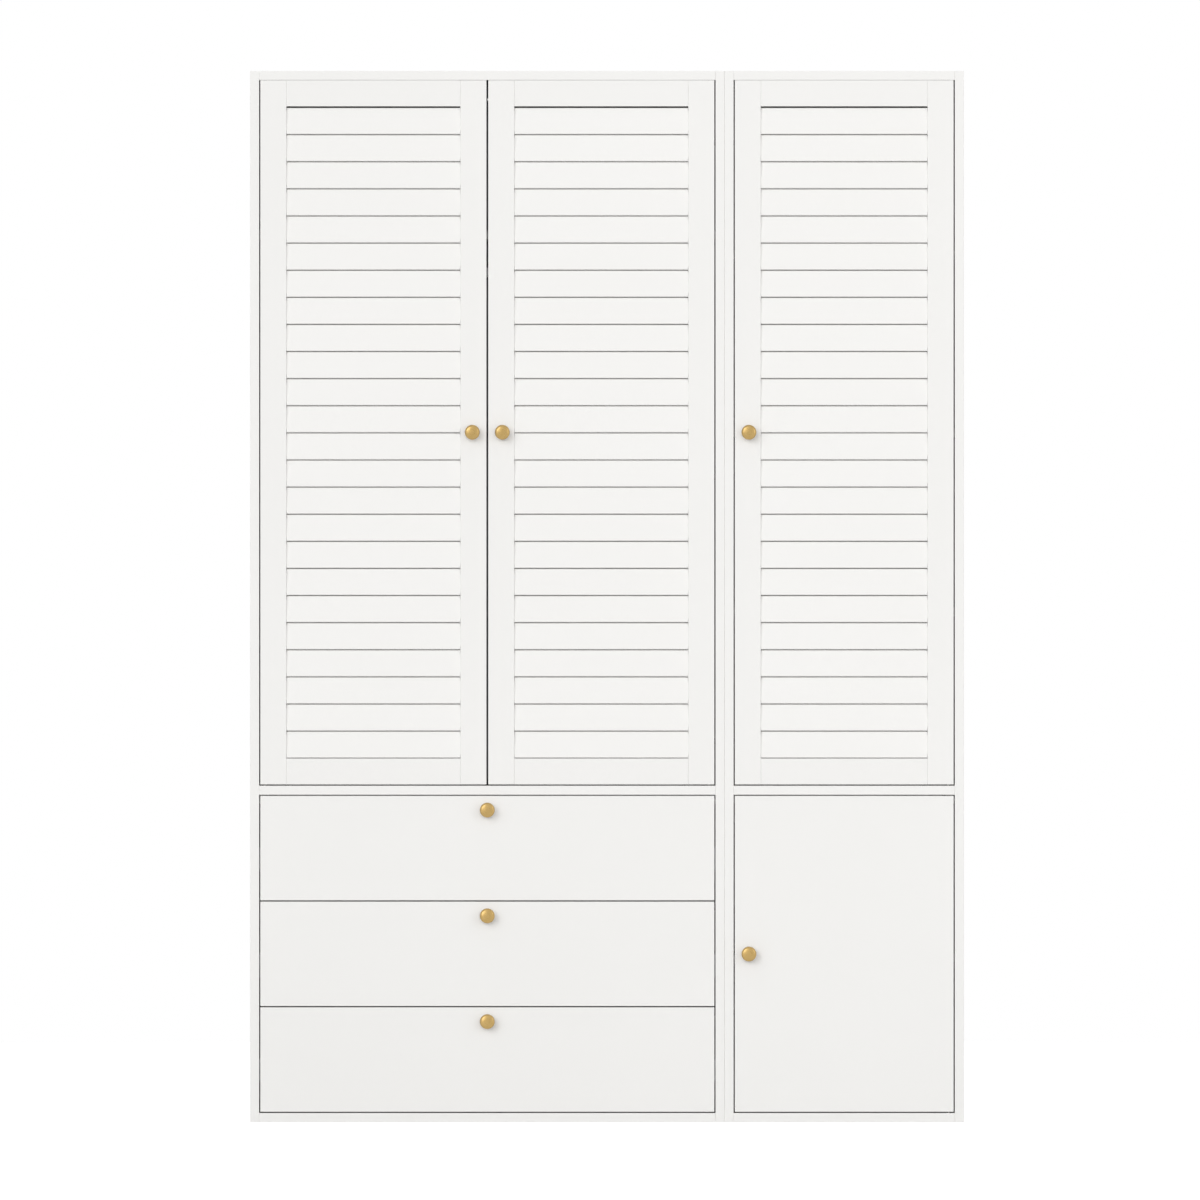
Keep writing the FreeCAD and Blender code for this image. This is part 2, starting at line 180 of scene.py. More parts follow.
finishes = {
    "white_lacquer": painted(
        "white_lacquer", (0.905, 0.898, 0.88, 1), (0.88, 0.873, 0.853, 1), 0.46, 420.0, 6e-6
    ),
    "drawer_board": painted(
        "drawer_board", (0.87, 0.863, 0.845, 1), (0.85, 0.843, 0.823, 1), 0.55, 900.0, 8e-6
    ),
    "back_board": painted(
        "back_board", (0.85, 0.843, 0.825, 1), (0.82, 0.813, 0.793, 1), 0.6, 700.0, 8e-6
    ),
}
print("painted finishes:", ", ".join(finishes))

# %% [markdown]
# The metals differ in colour, in sheen and in the marks that their making leaves. Rolled
# steel is brushed along its length, a hinge leaf is cloudy, and a chromed tube is almost a
# mirror. The hinge steel is painted dark, far darker than plated steel, as painted shade: its
# pins cross the narrow gaps at the heads and feet of the doors, where there is only shade,
# and a bright pin would break the dark line there. The screws and bolts share that dark
# colour. A turned knob has fine rings about its own axis. Seven knobs stand in seven places,
# so the rings can't come from a place in the room: each knob's mesh carries its distance
# from the axis as an attribute, and the finish reads that.

# %% Metals and plastic
def metal(name, light, dark, rough, brush, brush_depth, stretch):
    """A metal whose shade and sheen follow marks that are fine across the stretched axis."""
    material, shader, place = new_finish(name, Metallic=1.0)
    marks = noise(place, brush, detail=4.0, stretch=stretch)
    cloud = noise(place, 60.0)
    blend_colours(cloud, dark, light).into(shader["Base Color"])
    (rough - 0.06 + 0.12 * marks).into(shader["Roughness"])
    bump(marks, brush_depth).into(shader["Normal"])
    return material


def turned_brass(name):
    """Lacquered brass with the rings that a lathe leaves, read from the attribute reach."""
    material, shader, place = new_finish(name, Metallic=1.0, Coat_Weight=0.5, Coat_Roughness=0.12)
    reach = place.node("Attribute", {"attribute_name": "reach"}, output="Fac")
    rings = reach.node(
        "TexNoise", {"noise_dimensions": "1D"}, {"W": reach, "Scale": 2600.0, "Detail": 3.0}
    )
    cloud = noise(place, 160.0)
    blend_colours(cloud, (0.44, 0.29, 0.09, 1), (0.52, 0.35, 0.13, 1)).into(shader["Base Color"])
    (0.24 + 0.1 * rings).into(shader["Roughness"])
    bump(rings, 8e-6).into(shader["Normal"])
    return material


def moulded_plastic(name):
    """White plastic with the fine grain of its mould."""
    material, shader, place = new_finish(name)
    cloud = noise(place, 30.0)
    blend_colours(cloud, (0.78, 0.78, 0.76, 1), (0.82, 0.82, 0.8, 1)).into(shader["Base Color"])
    (0.42 + 0.08 * cloud).into(shader["Roughness"])
    bump(noise(place, 2200.0, detail=1.0), 1e-5).into(shader["Normal"])
    return material


finishes["knob_brass"] = turned_brass("knob_brass")
# painted shade: this steel is coloured far darker than plated steel, so that hinge pins in the
# narrow door gaps read as the gaps' shade; every leaf, screw and bolt with this finish is that
# dark
finishes["hinge_steel"] = metal(
    "hinge_steel", (0.30, 0.29, 0.28, 1), (0.23, 0.225, 0.215, 1), 0.4, 500.0, 4e-6, (1, 1, 1)
)
finishes["slide_zinc"] = metal(
    "slide_zinc", (0.68, 0.7, 0.72, 1), (0.56, 0.58, 0.61, 1), 0.36, 30.0, 1e-5, (40, 1, 40)
)
finishes["rail_chrome"] = metal(
    "rail_chrome", (0.82, 0.82, 0.83, 1), (0.78, 0.78, 0.79, 1), 0.12, 40.0, 2e-6, (1, 30, 30)
)
finishes["bracket_steel"] = metal(
    "bracket_steel", (0.64, 0.65, 0.67, 1), (0.54, 0.55, 0.57, 1), 0.38, 60.0, 8e-6, (1, 12, 12)
)
finishes["catch_plastic"] = moulded_plastic("catch_plastic")

for node, piece in frame["nodes"].items():
    piece.data.materials.clear()
    piece.data.materials.append(finishes[slot_of[node]])
print("finishes:", len(finishes))

# %% [markdown]
# ## Boards with eased edges
#
# No board leaves a workshop with knife edges. They are eased by up to half a millimetre, and
# where two boards meet flush, wider eased edges make the hairline that shows where one ends.
# The construction's meshes are loose triangles with sharp edges, so each board is copied,
# merged and joined up into whole faces, and then only the edges of its front and rear are
# bevelled. Mortises, grooves and tenons stay sharp, because nobody sands the inside of a
# joint.
#
# Three things need care. The bevel operator keeps bevels from crossing by narrowing all of
# them to what fits at the tightest place. So a board whose flush joint is eased first, in
# three steps, gets at most the first step's 0.16 mm on its other edges, and a small fitting
# can get less than it is given. The boards of a drawer box touch, and points of two that lie
# in one place must not be merged, so each solid is found first and merged by itself: it is
# all that can be reached by crossing edges that just two faces share. And smooth shading
# over a narrow bevel makes a flat board look like a pillow. The steps of a bevel are over
# twenty degrees, so they are marked as sharp, while the finer steps of an arc stay smooth,
# and a Weighted Normal modifier lets a large face that runs into an arc keep its own normal.

# %% Copy a piece and ease its edges
EASE = 0.5 * MM
JOINT_EASE = 1.2 * MM
MERGE = 0.01 * MM
FLAT = math.radians(1)
CORNER = math.radians(25)
SHARP = math.radians(20)
IN_LINE = 0.99
LARGE_FACES_FIRST = 50


def solids(shape):
    """The points of each solid, walking across joined faces and edges that two faces share."""
    sharers = {}
    for face in shape.faces:
        for edge in face.edges:
            sharers.setdefault(frozenset(tuple(v.co) for v in edge.verts), set()).add(face)
    left = set(shape.faces)
    while left:
        waiting = [left.pop()]
        points = set()
        while waiting:
            face = waiting.pop()
            points.update(face.verts)
            near = {other for v in face.verts for other in v.link_faces}
            for edge in face.edges:
                pair = sharers[frozenset(tuple(v.co) for v in edge.verts)]
                if len(pair) == 2:
                    near |= pair
            waiting.extend(near & left)
            left -= near
        yield list(points)


def merged_copy(node):
    """The shape of one piece as whole faces."""
    shape = bmesh.new()
    shape.from_mesh(frame["nodes"][node].data)
    for points in list(solids(shape)):
        bmesh.ops.remove_doubles(shape, verts=points, dist=MERGE)
    bmesh.ops.dissolve_limit(shape, angle_limit=FLAT, verts=shape.verts, edges=shape.edges)
    return shape


def islands(shape):
    """The separate solids of a mesh, each as a set of vertices."""
    left = set(shape.verts)
    while left:
        found = {left.pop()}
        waiting = list(found)
        while waiting:
            here = waiting.pop()
            fresh = {edge.other_vert(here) for edge in here.link_edges} & left
            left -= fresh
            found |= fresh
            waiting.extend(fresh)
        yield found


def outer_edges(shape):
    """The edges that stick out and turn a corner."""
    return [e for e in shape.edges if e.is_convex and e.calc_face_angle(0) > CORNER]


def face_edges(shape):
    """The outer edges whose ends all lie on the front or the rear of their solid."""
    outermost = set()
    for solid in islands(shape):
        planes = (min(v.co.y for v in solid), max(v.co.y for v in solid))
        outermost |= {v for v in solid if min(abs(v.co.y - y) for y in planes) < MERGE}
    return [e for e in outer_edges(shape) if outermost.issuperset(e.verts)]


def ease(shape, edges, width, segments=2):
    """Rounds edges by a width, or all of them by less if the tightest place has no room."""
    bmesh.ops.bevel(
        shape, geom=edges, offset=width, segments=segments, profile=0.5, affect="EDGES",
        clamp_overlap=True, material=-1,
    )


def finished(name, shape, slot, body, replaces=()):
    """Makes the object of a finished piece, puts it on its body and gives it its finish."""
    mesh = bpy.data.meshes.new(name)
    for face in shape.faces:
        face.smooth = True
    shape.to_mesh(mesh)
    shape.free()
    mesh.set_sharp_from_angle(angle=SHARP)
    mesh.materials.append(finishes[slot])
    piece = bpy.data.objects.new(name, mesh)
    bpy.context.scene.collection.objects.link(piece)
    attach(piece, body)
    if replaces:
        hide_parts(*replaces)
    return piece


def firm(piece):
    """Lets the large faces of a piece keep their own normals beside its narrow bevels."""
    normals = piece.modifiers.new("firm_faces", "WEIGHTED_NORMAL")
    normals.mode = "FACE_AREA"
    normals.weight = LARGE_FACES_FIRST
    normals.keep_sharp = True
    return piece


def outward_face(node):
    """The x of the outer face of a carcass's side, and None for any other board."""
    low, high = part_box(node)
    return {"left_side": low.x, "right_side": high.x}.get(node.partition("_")[2])


def meets_flush(node, edge, outward):
    """Whether an edge lies in a flush joint: a board's end, or a side against its neighbour."""
    along = edge.verts[0].co - edge.verts[1].co
    upright = abs(along.z) > IN_LINE * along.length
    if outward is None:
        return upright and node.endswith(("_rails", "_top", "_bottom"))
    return upright and abs(edge.verts[0].co.x - outward) < MERGE


def eased_board(node):
    """A board's own shape, with the edges of its faces eased, and more at a flush joint."""
    shape = merged_copy(node)
    outward = outward_face(node)
    edges = face_edges(shape)
    count = len(edges)
    flush = [edge for edge in edges if meets_flush(node, edge, outward)]
    if flush:
        ease(shape, flush, JOINT_EASE, segments=3)
        edges = [edge for edge in face_edges(shape) if not meets_flush(node, edge, outward)]
    ease(shape, edges, EASE)
    firm(finished(node + "_eased", shape, slot_of[node], body_of[node], [node]))
    return count


for slot in ("white_lacquer", "drawer_board", "back_board"):
    boards = [node for node in nodes_in(slot) if not node.endswith("_slats")]
    eased = sum(eased_board(node) for node in boards)
    print(f"{slot}: {len(boards)} pieces, {eased} edges eased")

# %% [markdown]
# A louvre slat is shaped differently. It comes out of a moulder with its long corners
# rounded, and its shoulders butt against the stiles, where sanding leaves them eased like
# any flush joint. So here the edges to ease are the long ones, whatever side they are on,
# and the shoulders' front ones.

# %% Round the slats
SLAT_ROUND = 0.65 * MM
SHOULDER_EASE = 1.2 * MM
LONG = 100 * MM
FACES_THAT_WAY = 0.9


def long_edges(shape):
    """The sharp outer edges that run along the slats."""
    return [e for e in outer_edges(shape) if abs(e.verts[0].co.x - e.verts[1].co.x) > LONG]


def shoulder_edges(shape):
    """The edges between the slats' front faces and their ends."""
    return [
        e for e in outer_edges(shape)
        if any(f.normal.y < -FACES_THAT_WAY for f in e.link_faces)
        and any(abs(f.normal.x) > FACES_THAT_WAY for f in e.link_faces)
    ]


def rounded_slats(node):
    """A door's slats with their long corners rounded and their shoulders eased."""
    shape = merged_copy(node)
    ease(shape, shoulder_edges(shape), SHOULDER_EASE, segments=3)
    edges = long_edges(shape)
    ease(shape, edges, SLAT_ROUND)
    firm(finished(node + "_rounded", shape, slot_of[node], body_of[node], [node]))
    return len(edges)


for node in nodes_in("white_lacquer"):
    if node.endswith("_slats"):
        print(node, "long edges rounded:", rounded_slats(node))

# %% [markdown]
# ## Turned knobs
#
# A knob is turned from a bar, so its shape is one outline spun about an axis. The outline
# is drawn as radius against depth behind the knob's face: a shallow dome that runs into a
# rounded rim without a kink, a small round at the back, and a cove down to the neck.

# %% Spin a knob
KNOB_RADIUS = 15 * MM
KNOB_PROJECTION = 24 * MM
KNOB_BACK = 7 * MM
RIM_ROUND = 5.0 * MM
BACK_ROUND = 1.0 * MM
NECK_RADIUS = 6 * MM
COVE = 2.4 * MM
DOME_LEAN = math.radians(9)
TURNS = 72


def arc(centre, radius, start, end, steps):
    """Points on an arc, as (radius, depth), with angles in degrees from straight outwards."""
    angles = [math.radians(start + (end - start) * i / steps) for i in range(steps + 1)]
    return [(centre[0] + radius * math.cos(a), centre[1] + radius * math.sin(a)) for a in angles]


def knob_outline():
    """From the middle of the dome round to the foot of the neck."""
    meeting = KNOB_RADIUS - RIM_ROUND + RIM_ROUND * math.sin(DOME_LEAN)
    dome_radius = meeting / math.sin(DOME_LEAN)
    lean = math.degrees(DOME_LEAN)
    dome = arc((0, dome_radius), dome_radius, -90, -90 + lean, steps=8)
    rim_depth = dome[-1][1] + RIM_ROUND * math.cos(DOME_LEAN)
    rim = arc((KNOB_RADIUS - RIM_ROUND, rim_depth), RIM_ROUND, -90 + lean, 0, steps=10)
    back_centre = (KNOB_RADIUS - BACK_ROUND, KNOB_BACK - BACK_ROUND)
    back = arc(back_centre, BACK_ROUND, 0, 90, steps=5)
    cove = arc((NECK_RADIUS + COVE, KNOB_BACK + COVE), COVE, -90, -180, steps=6)
    foot = [(NECK_RADIUS, KNOB_PROJECTION), (0, KNOB_PROJECTION)]
    return dome + rim[1:] + back + cove + foot


def turned_knob(node):
    """Spins the outline about the knob's own axis, and notes each point's reach from it."""
    low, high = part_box(node)
    centre = (low + high) / 2
    shape = bmesh.new()
    outline = [(centre.x + radius, low.y + depth, centre.z) for radius, depth in knob_outline()]
    points = [shape.verts.new(place) for place in outline]
    lines = [shape.edges.new(pair) for pair in zip(points, points[1:])]
    bmesh.ops.spin(
        shape, geom=points + lines, cent=centre, axis=(0, 1, 0), angle=math.tau, steps=TURNS,
        use_merge=True,
    )
    bmesh.ops.remove_doubles(shape, verts=shape.verts, dist=MERGE)
    bmesh.ops.recalc_face_normals(shape, faces=shape.faces)
    reach = shape.verts.layers.float.new("reach")
    for v in shape.verts:
        v[reach] = math.hypot(v.co.x - centre.x, v.co.z - centre.z)
    return finished(node + "_turned", shape, slot_of[node], body_of[node], [node])


for node in nodes_in("knob_brass"):
    knob = turned_knob(node)
    print(knob.name, len(knob.data.polygons), "faces")

# %% [markdown]
# ## Fittings
#
# Hinge leaves, slides, brackets and the hanging rail are pressed, rolled or drawn, so none
# has a sharp edge either. They are small enough to have every outer edge eased, by two or
# three tenths of a millimetre at most. The catches are moulded, and are rounder. Arcs stay
# smooth, because each of their steps turns by less than the angle that counts as a corner.

# %% Ease the fittings
FITTING_EASE = {
    "hinge_steel": 0.2 * MM,
    "slide_zinc": 0.3 * MM,
    "rail_chrome": 0.25 * MM,
    "bracket_steel": 0.3 * MM,
    "catch_plastic": 0.8 * MM,
}


def eased_fitting(node):
    """A fitting's own shape with all its outer edges eased."""
    shape = merged_copy(node)
    slot = slot_of[node]
    ease(shape, outer_edges(shape), FITTING_EASE[slot])
    return firm(finished(node + "_eased", shape, slot, body_of[node], [node]))


for slot in FITTING_EASE:
    made = [eased_fitting(node) for node in nodes_in(slot)]
    print(f"{slot}: {len(made)} pieces, {sum(len(piece.data.polygons) for piece in made)} faces")

# %% [markdown]
# ## Screws, bolts and caps
#
# What holds it together shows when a door or a drawer is open. A screw head is drawn once:
# a short round with a rounded rim and a six-lobed recess. The recess is the inner circle of
# the face with its points drawn in and out in turn, then pushed down. A cap is the same
# without the recess. Copies of the pattern are then planted wherever one belongs, each turned
# to face its own way, and all the copies that move together are one piece.

# %% Draw the heads
BURIED = 0.5 * MM
HEAD_SIDES = 24
RIM_SHARE = 0.7
RECESS_INSET = 0.35
RECESS_DEPTH = 0.5
LOBES = 6
LOBE_MEAN = 0.88
LOBE_SWING = 0.12


def face_at_height(shape, height):
    """The flat face that looks up at a height."""
    return next(
        f for f in shape.faces
        if f.normal.z > IN_LINE and abs(f.calc_center_median().z - height) < MERGE
    )


def round_head(radius, height, recessed):
    """A round head that stands on the plane z = 0, with its foot buried a little."""
    shape = bmesh.new()
    length = height + BURIED
    bmesh.ops.create_cone(
        shape, cap_ends=True, segments=HEAD_SIDES, radius1=radius, radius2=radius, depth=length
    )
    bmesh.ops.translate(shape, verts=shape.verts, vec=(0, 0, (height - BURIED) / 2))
    ease(shape, list(face_at_height(shape, height).edges), min(height, radius / 3) * RIM_SHARE)
    if recessed:
        top = face_at_height(shape, height)
        reach = max(v.co.xy.length for v in top.verts)
        bmesh.ops.inset_region(shape, faces=[top], thickness=reach * RECESS_INSET)
        for v in top.verts:
            turn = math.atan2(v.co.y, v.co.x)
            v.co.xy *= LOBE_MEAN + LOBE_SWING * math.cos(LOBES * turn)
        floor_geometry = bmesh.ops.extrude_face_region(shape, geom=[top])["geom"]
        sunk = [item for item in floor_geometry if isinstance(item, bmesh.types.BMVert)]
        depth = RECESS_DEPTH * min(length, radius)
        bmesh.ops.translate(shape, verts=sunk, vec=(0, 0, -depth))
        bmesh.ops.delete(shape, geom=[f for f in shape.faces if f == top], context="FACES_ONLY")
    bmesh.ops.recalc_face_normals(shape, faces=shape.faces)
    pattern = bpy.data.meshes.new("head_pattern")
    shape.to_mesh(pattern)
    shape.free()
    return pattern


def planted(pattern, places):
    """Copies of a pattern in one shape, each stood on a place and turned to face its way."""
    shape = bmesh.new()
    for place, facing in places:
        first = len(shape.verts)
        shape.from_mesh(pattern)
        shape.verts.ensure_lookup_table()
        turn = Vector(facing).to_track_quat("Z", "Y").to_matrix().to_4x4()
        bmesh.ops.transform(
            shape, matrix=Matrix.Translation(place) @ turn, verts=shape.verts[first:]
        )
    return shape


heads = {
    "pan_screws": (round_head(4.0 * MM, 2.2 * MM, True), "hinge_steel"),
    "flush_screws": (round_head(2.4 * MM, 0.1 * MM, True), "hinge_steel"),
    "connectors": (round_head(6.5 * MM, 1.6 * MM, True), "hinge_steel"),
    "cam_caps": (round_head(9.0 * MM, 0.9 * MM, False), "catch_plastic"),
}
places = {}


def put(kind, body, place, facing):
    """Notes one head to plant on a body."""
    places.setdefault((kind, body), []).append((Vector(place), facing))


print("patterns:", {name: len(head[0].polygons) for name, head in heads.items()})

# %% [markdown]
# The screws find their own places from the pieces that they hold. A knob's machine screw is
# behind the knob, on the inner face of its door or drawer. A hinge leaf has two screws in its
# tail, and a strike plate has two beside its middle. The partner of a door's leaf is the leaf
# on the carcass that lies close to it. The flat door's head is held by an arm instead, which
# reaches further back than a leaf does and gets no screws of this kind.

# %% Screws of the doors
FRONTS_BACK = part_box("left_door_hinge_stile")[1].y
LEAF_SCREWS = (14 * MM, 27 * MM)
STRIKE_SCREW = 8 * MM
DEEPEST_LEAF = 10 * MM
PARTNERS_APART = 10 * MM


def solid_boxes(node):
    """The low and high corner of each separate solid in a piece."""
    shape = merged_copy(node)
    corners = []
    for solid in islands(shape):
        points = [v.co for v in solid]
        corners.append((
            Vector(min(p[i] for p in points) for i in range(3)),
            Vector(max(p[i] for p in points) for i in range(3)),
        ))
    shape.free()
    return sorted(corners, key=lambda corner: (corner[0].z, corner[0].x))


def leaf_screws(body, pivot, box, face, facing):
    """Two flush screws in the tail of a hinge leaf."""
    inward = math.copysign(1, (box[0].x + box[1].x) / 2 - pivot.x)
    for along in LEAF_SCREWS:
        put("flush_screws", body, (pivot.x + inward * along, pivot.y, face), facing)


for node in nodes_in("knob_brass"):
    middle = sum(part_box(node), Vector()) / 2
    put("pan_screws", body_of[node], (middle.x, FRONTS_BACK, middle.z), (0, 1, 0))

carcass_leaves = solid_boxes("carcass_hinge_leaves")
for joint in record["behaviour"]["joints"]:
    if joint["type"] != "hinge":
        continue
    pivot = Vector(joint["pos_m"])
    door = joint["child"]
    foot_leaf, *strike, head_leaf = sorted(
        solid_boxes(door + "_fittings"), key=lambda box: box[0].z + box[1].z
    )
    leaf_screws(door, pivot, foot_leaf, foot_leaf[0].z, (0, 0, -1))
    leaf_screws(door, pivot, head_leaf, head_leaf[1].z, (0, 0, 1))
    thickness = foot_leaf[1].z - foot_leaf[0].z
    for low, high in strike:
        middle = (low + high) / 2
        for side in (-1, 1):
            place = (middle.x + side * STRIKE_SCREW, high.y, middle.z)
            put("flush_screws", door, place, (0, 1, 0))
    for box in carcass_leaves:
        low, high = box
        if not low.x < pivot.x < high.x or high.y - low.y >= DEEPEST_LEAF:
            continue
        if abs(low.z - foot_leaf[0].z) < PARTNERS_APART:
            leaf_screws("carcass", pivot, box, low.z + thickness, (0, 0, 1))
        elif abs(high.z - head_leaf[1].z) < PARTNERS_APART:
            leaf_screws("carcass", pivot, box, high.z - thickness, (0, 0, -1))
print("screws on doors:", {key: len(spots) for key, spots in places.items()})

# %% [markdown]
# A drawer's front is screwed on from inside the box, and each slide is screwed to the box
# through its web.

# %% Screws of the drawers
DRAWER_BOARD = 12 * MM
SLIDE_WALL = 1.2 * MM
FRONT_SCREW_INSET = 90 * MM
FRONT_SCREW_LIFT = 45 * MM
FRONT_SCREW_DROP = 30 * MM
SLIDE_SCREW_SHARES = (0.08, 0.45, 0.9)
BESIDE_LEFT_EDGE = 100 * MM
for body in bodies:
    if body + "_box" not in body_of:
        continue
    low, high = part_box(body + "_box")
    for x in (low.x + FRONT_SCREW_INSET, high.x - FRONT_SCREW_INSET):
        for z in (low.z + FRONT_SCREW_LIFT, high.z - FRONT_SCREW_DROP):
            put("pan_screws", body, (x, low.y + DRAWER_BOARD, z), (0, 1, 0))
    for low, high in solid_boxes(body + "_slides"):
        outward = -1 if low.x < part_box(body + "_front")[0].x + BESIDE_LEFT_EDGE else 1
        web = high.x - SLIDE_WALL if outward < 0 else low.x + SLIDE_WALL
        for share in SLIDE_SCREW_SHARES:
            y = low.y + share * (high.y - low.y)
            put("pan_screws", body, (web, y, (low.z + high.z) / 2), (outward, 0, 0))
print("screws on drawers:", sum(len(places[key]) for key in places if key[1] + "_box" in body_of))

# %% [markdown]
# The columns are bolted together through their sides, above and below the slides so that
# nothing catches. The tops are drawn down by cam fittings, whose white caps can be seen by
# looking up, and the upper carcasses are bolted down through their bottoms. The fasteners
# stand a set way in from the edges of the boards that they go through.

# %% Screws of the carcasses
BOARD = 18 * MM
BOLT_HEIGHTS = (760 * MM, 1290 * MM, 1960 * MM, 216 * MM, 427 * MM)
BOLT_DEPTHS = (-150 * MM, 190 * MM)
CAM_INSET = 34 * MM
CAM_FROM_FRONT = 70 * MM
STACK_BOLT_INSET = 60 * MM
STACK_BOLT_FROM_FRONT = 100 * MM
FROM_REAR = 90 * MM
ON_FLOOR = 100 * MM
BRACKET_STEEL = 2.5 * MM
BRACKET_SCREW_OUT = 8 * MM
BRACKET_SCREW_IN = 18 * MM

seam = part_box("wardrobe_right_side")[1].x
for z in BOLT_HEIGHTS:
    for y in BOLT_DEPTHS:
        for side in (-1, 1):
            put("connectors", "carcass", (seam + side * BOARD, y, z), (side, 0, 0))

for carcass in ("wardrobe", "cupboard", "chest", "locker"):
    low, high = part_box(carcass + "_top")
    for x in (low.x + CAM_INSET, high.x - CAM_INSET):
        for y in (low.y + CAM_FROM_FRONT, high.y - FROM_REAR):
            put("cam_caps", "carcass", (x, y, low.z), (0, 0, -1))
    low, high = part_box(carcass + "_bottom")
    if low.z > ON_FLOOR:
        for x in (low.x + STACK_BOLT_INSET, high.x - STACK_BOLT_INSET):
            for y in (low.y + STACK_BOLT_FROM_FRONT, high.y - FROM_REAR):
                put("connectors", "carcass", (x, y, high.z), (0, 0, 1))

for low, high in solid_boxes("wall_brackets"):
    middle = (low + high) / 2
    for side in (-1, 1):
        x = middle.x + side * BRACKET_SCREW_OUT
        place = (x, low.y + BRACKET_SCREW_IN, high.z - BRACKET_STEEL)
        put("pan_screws", "carcass", place, (0, 0, -1))

for (kind, body), spots in places.items():
    pattern, slot = heads[kind]
    finished(f"{body}_{kind}", planted(pattern, spots), slot, body)
print("heads planted:", sum(len(spots) for spots in places.values()))

# %% [markdown]
# A magnetic catch grips its strike plate with two steel pole plates that stand a hair proud
# of the housing.

# %% Pole plates
POLE = Vector((26 * MM, 1.0 * MM, 2.2 * MM))
POLE_APART = 5.2 * MM
POLE_PROUD = 0.1 * MM
POLE_EASE = 0.15 * MM
catches = solid_boxes("door_catches")
poles = bmesh.new()
for low, high in catches:
    for side in (-1, 1):
        middle = Vector((
            (low.x + high.x) / 2,
            low.y - POLE_PROUD + POLE.y / 2,
            (low.z + high.z) / 2 + side * POLE_APART / 2,
        ))
        size = Matrix.Diagonal((*POLE, 1))
        bmesh.ops.create_cube(poles, size=1, matrix=Matrix.Translation(middle) @ size)
ease(poles, list(poles.edges), POLE_EASE)
finished("catch_poles", poles, "bracket_steel", "carcass")
print("pole plates:", 2 * len(catches))

# %% [markdown]
# ## Studio
#
# The cabinet stands on a pale floor under soft light. The background has to be white without
# burning out the white boards, so it isn't lit white: the world is a plain white where the
# camera or a polished surface sees it, and a weaker, even light everywhere else. The floor
# has some white of its own for the same rays, and keeps the cabinet's shadow.

# %% World and floor
AMBIENT = 0.475
FLOOR_GREY = 0.45
FLOOR_OWN = 0.68
FLOOR_RADIUS = 7.0
FLOOR_SIDES = 96
FLOOR_DROP = 0.4 * MM
scene = bpy.context.scene
scene.view_settings.view_transform = "Standard"
world = bpy.data.worlds.new("studio")
scene.world = world
world.use_nodes = True
background = world.node_tree.nodes["Background"]
background.inputs["Color"].default_value = (1, 1, 1, 1)


def shown_to_eye_or_metal(tree):
    """1 for a ray from the camera, off a polished surface or through a clear one, else 0."""
    rays = tree.nodes.new("ShaderNodeLightPath").outputs
    eye, glossy, clear = (
        Wire(rays[name]) for name in ("Is Camera Ray", "Is Glossy Ray", "Is Transmission Ray")
    )
    return eye.math("MAXIMUM", eye, eye.math("MAXIMUM", glossy, clear))


seen = shown_to_eye_or_metal(world.node_tree)
(AMBIENT + (1 - AMBIENT) * seen).into(background.inputs["Strength"])

floor_shape = bmesh.new()
bmesh.ops.create_circle(floor_shape, cap_ends=True, segments=FLOOR_SIDES, radius=FLOOR_RADIUS)
bmesh.ops.translate(floor_shape, verts=floor_shape.verts, vec=(0, 0, -FLOOR_DROP))
floor_mesh = bpy.data.meshes.new("studio_floor")
floor_shape.to_mesh(floor_mesh)
floor_shape.free()
floor = bpy.data.objects.new("studio_floor", floor_mesh)
scene.collection.objects.link(floor)
floor_finish, floor_shader, _ = new_finish("studio_floor", Roughness=0.7)
floor_shader["Base Color"].default_value = (FLOOR_GREY, FLOOR_GREY, FLOOR_GREY, 1)
floor_shader["Emission Strength"].default_value = FLOOR_OWN
seen = shown_to_eye_or_metal(floor_finish.node_tree)
blend_colours(seen, (0, 0, 0, 1), (1, 1, 1, 1)).into(floor_shader["Emission Color"])
floor_mesh.materials.append(floor_finish)
print("floor radius", FLOOR_RADIUS, "m, ambient light", AMBIENT)

# %% [markdown]
# Far lamps share the front, so that the light falls evenly over it. The key lamp on the
# upper left gives the knobs a soft shadow, and the front lamp fills that shadow from where
# the viewer stands. Neither is mirrored, because in metal they would be a glare on every
# knob, and on the satin top a glare for anyone who stands behind it. A small glint lamp
# beside the key gives the knobs their highlight instead. A weak lamp on the right opens the
# shadows a little more. Two lamps behind the corners light the sides and the back, and leave
# the joints of the front dark. Each lamp is set by the share of the white level that it gives
# the surface it faces.

# %% Lamps
MIDDLE = Vector((0, 0, 1.05))


def add_lamp(name, kind, place):
    """A lamp that faces the middle of the cabinet and doesn't show itself."""
    data = bpy.data.lights.new(name, kind)
    lamp = bpy.data.objects.new(name, data)
    scene.collection.objects.link(lamp)
    lamp.location = place
    lamp.rotation_euler = (MIDDLE - lamp.location).to_track_quat("-Z", "Y").to_euler()
    lamp.visible_camera = False
    return lamp


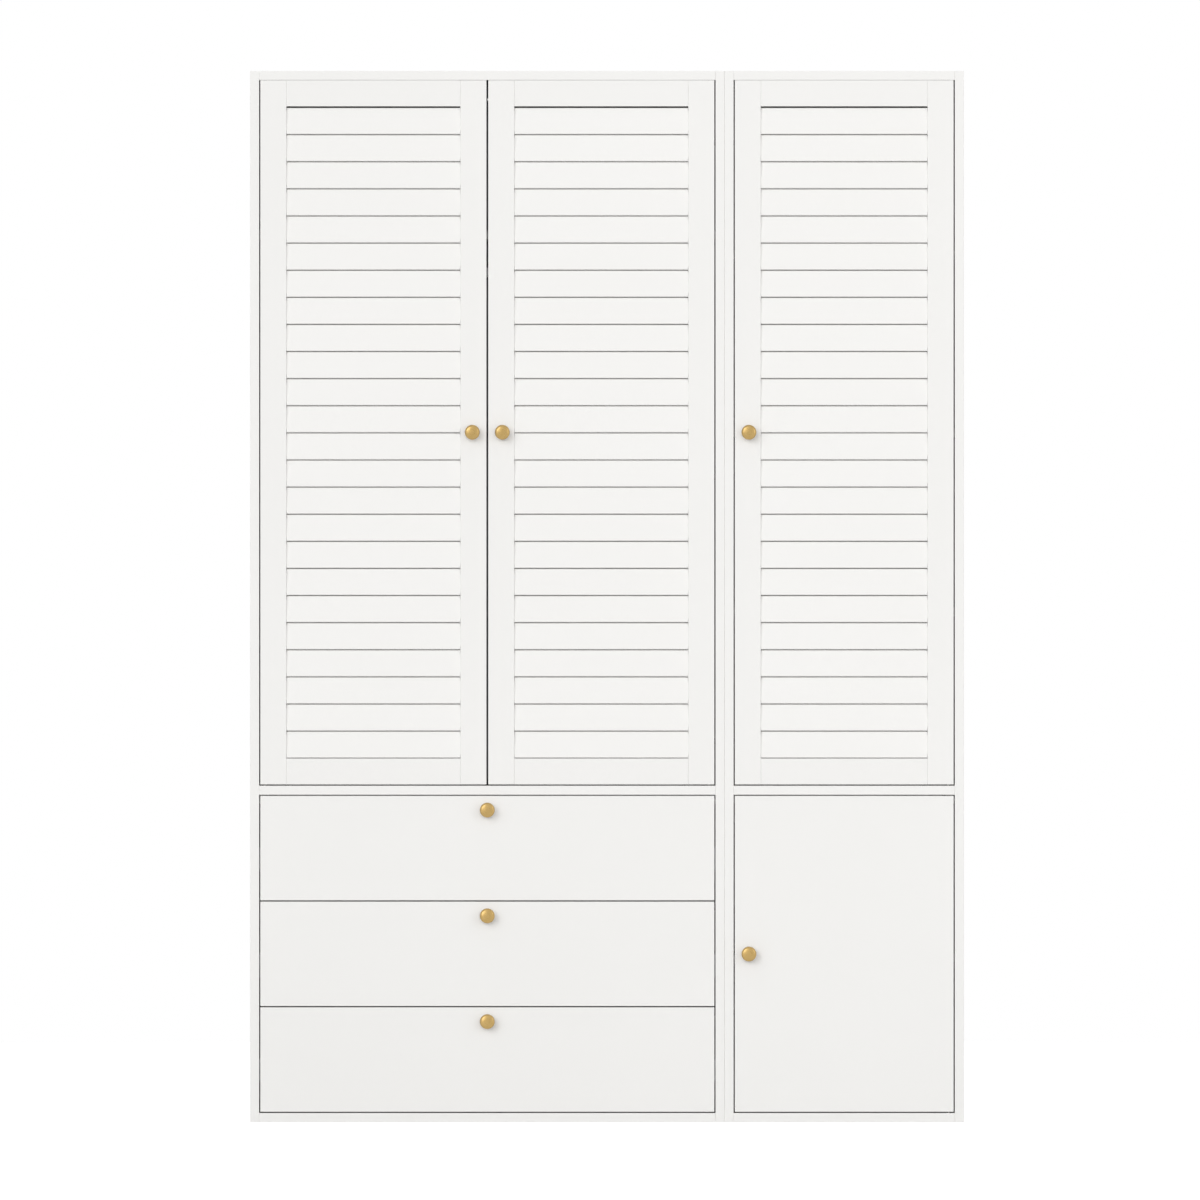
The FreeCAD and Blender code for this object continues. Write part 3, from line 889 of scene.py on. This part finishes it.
def facing(place):
    """How squarely light from a place falls on the side of the cabinet that it faces most."""
    way = (Vector(place) - MIDDLE).normalized()
    return max(abs(way.x), abs(way.y))


def far_lamp(name, place, spread, share, mirrored=True):
    """Light from far off, soft from a wide spread, which polished surfaces show if mirrored."""
    lamp = add_lamp(name, "SUN", place)
    lamp.data.angle = spread
    lamp.data.energy = share * math.pi / facing(place)
    lamp.visible_glossy = mirrored


def near_lamp(name, place, size, share):
    """A square lamp that stands at its place."""
    lamp = add_lamp(name, "AREA", place)
    lamp.data.shape = "SQUARE"
    lamp.data.size = size
    distance = (Vector(place) - MIDDLE).length
    lamp.data.energy = share * math.pi ** 2 * distance ** 2 / facing(place)


far_lamp("front_lamp", (0.5, -10.0, 2.2), math.radians(24), 0.235, mirrored=False)
far_lamp("key_lamp", (-5.0, -8.2, 4.2), math.radians(40), 0.12, mirrored=False)
far_lamp("glint_lamp", (-3.8, -9.0, 4.0), math.radians(28), 0.13)
near_lamp("fill_lamp", (4.5, -6.0, 2.4), 3.0, 0.06)
far_lamp("left_lamp", (-10.0, 7.0, 2.6), math.radians(40), 0.28, mirrored=False)
far_lamp("right_lamp", (10.0, 7.0, 2.6), math.radians(40), 0.28, mirrored=False)

# %% [markdown]
# The camera looks straight at the front from so far away that no side of a board shows, and
# its frame is a little wider than the cabinet is tall.

# %% Camera
FRAME_WIDTH = 2397.6 * MM
FRAME_MIDDLE = (-13.9 * MM, 1043.0 * MM)
STAND_OFF = 40.0
camera_data = bpy.data.cameras.new("camera")
camera_data.sensor_width = 36.0
camera_data.lens = camera_data.sensor_width * STAND_OFF / FRAME_WIDTH
camera_data.clip_end = 120.0
camera = bpy.data.objects.new("camera", camera_data)
scene.collection.objects.link(camera)
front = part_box("wardrobe_left_side")[0].y
camera.location = (FRAME_MIDDLE[0], front - STAND_OFF, FRAME_MIDDLE[1])
camera.rotation_euler = (math.radians(90), 0, 0)
scene.camera = camera
print(f"lens {camera_data.lens:.0f} mm at {STAND_OFF} m")
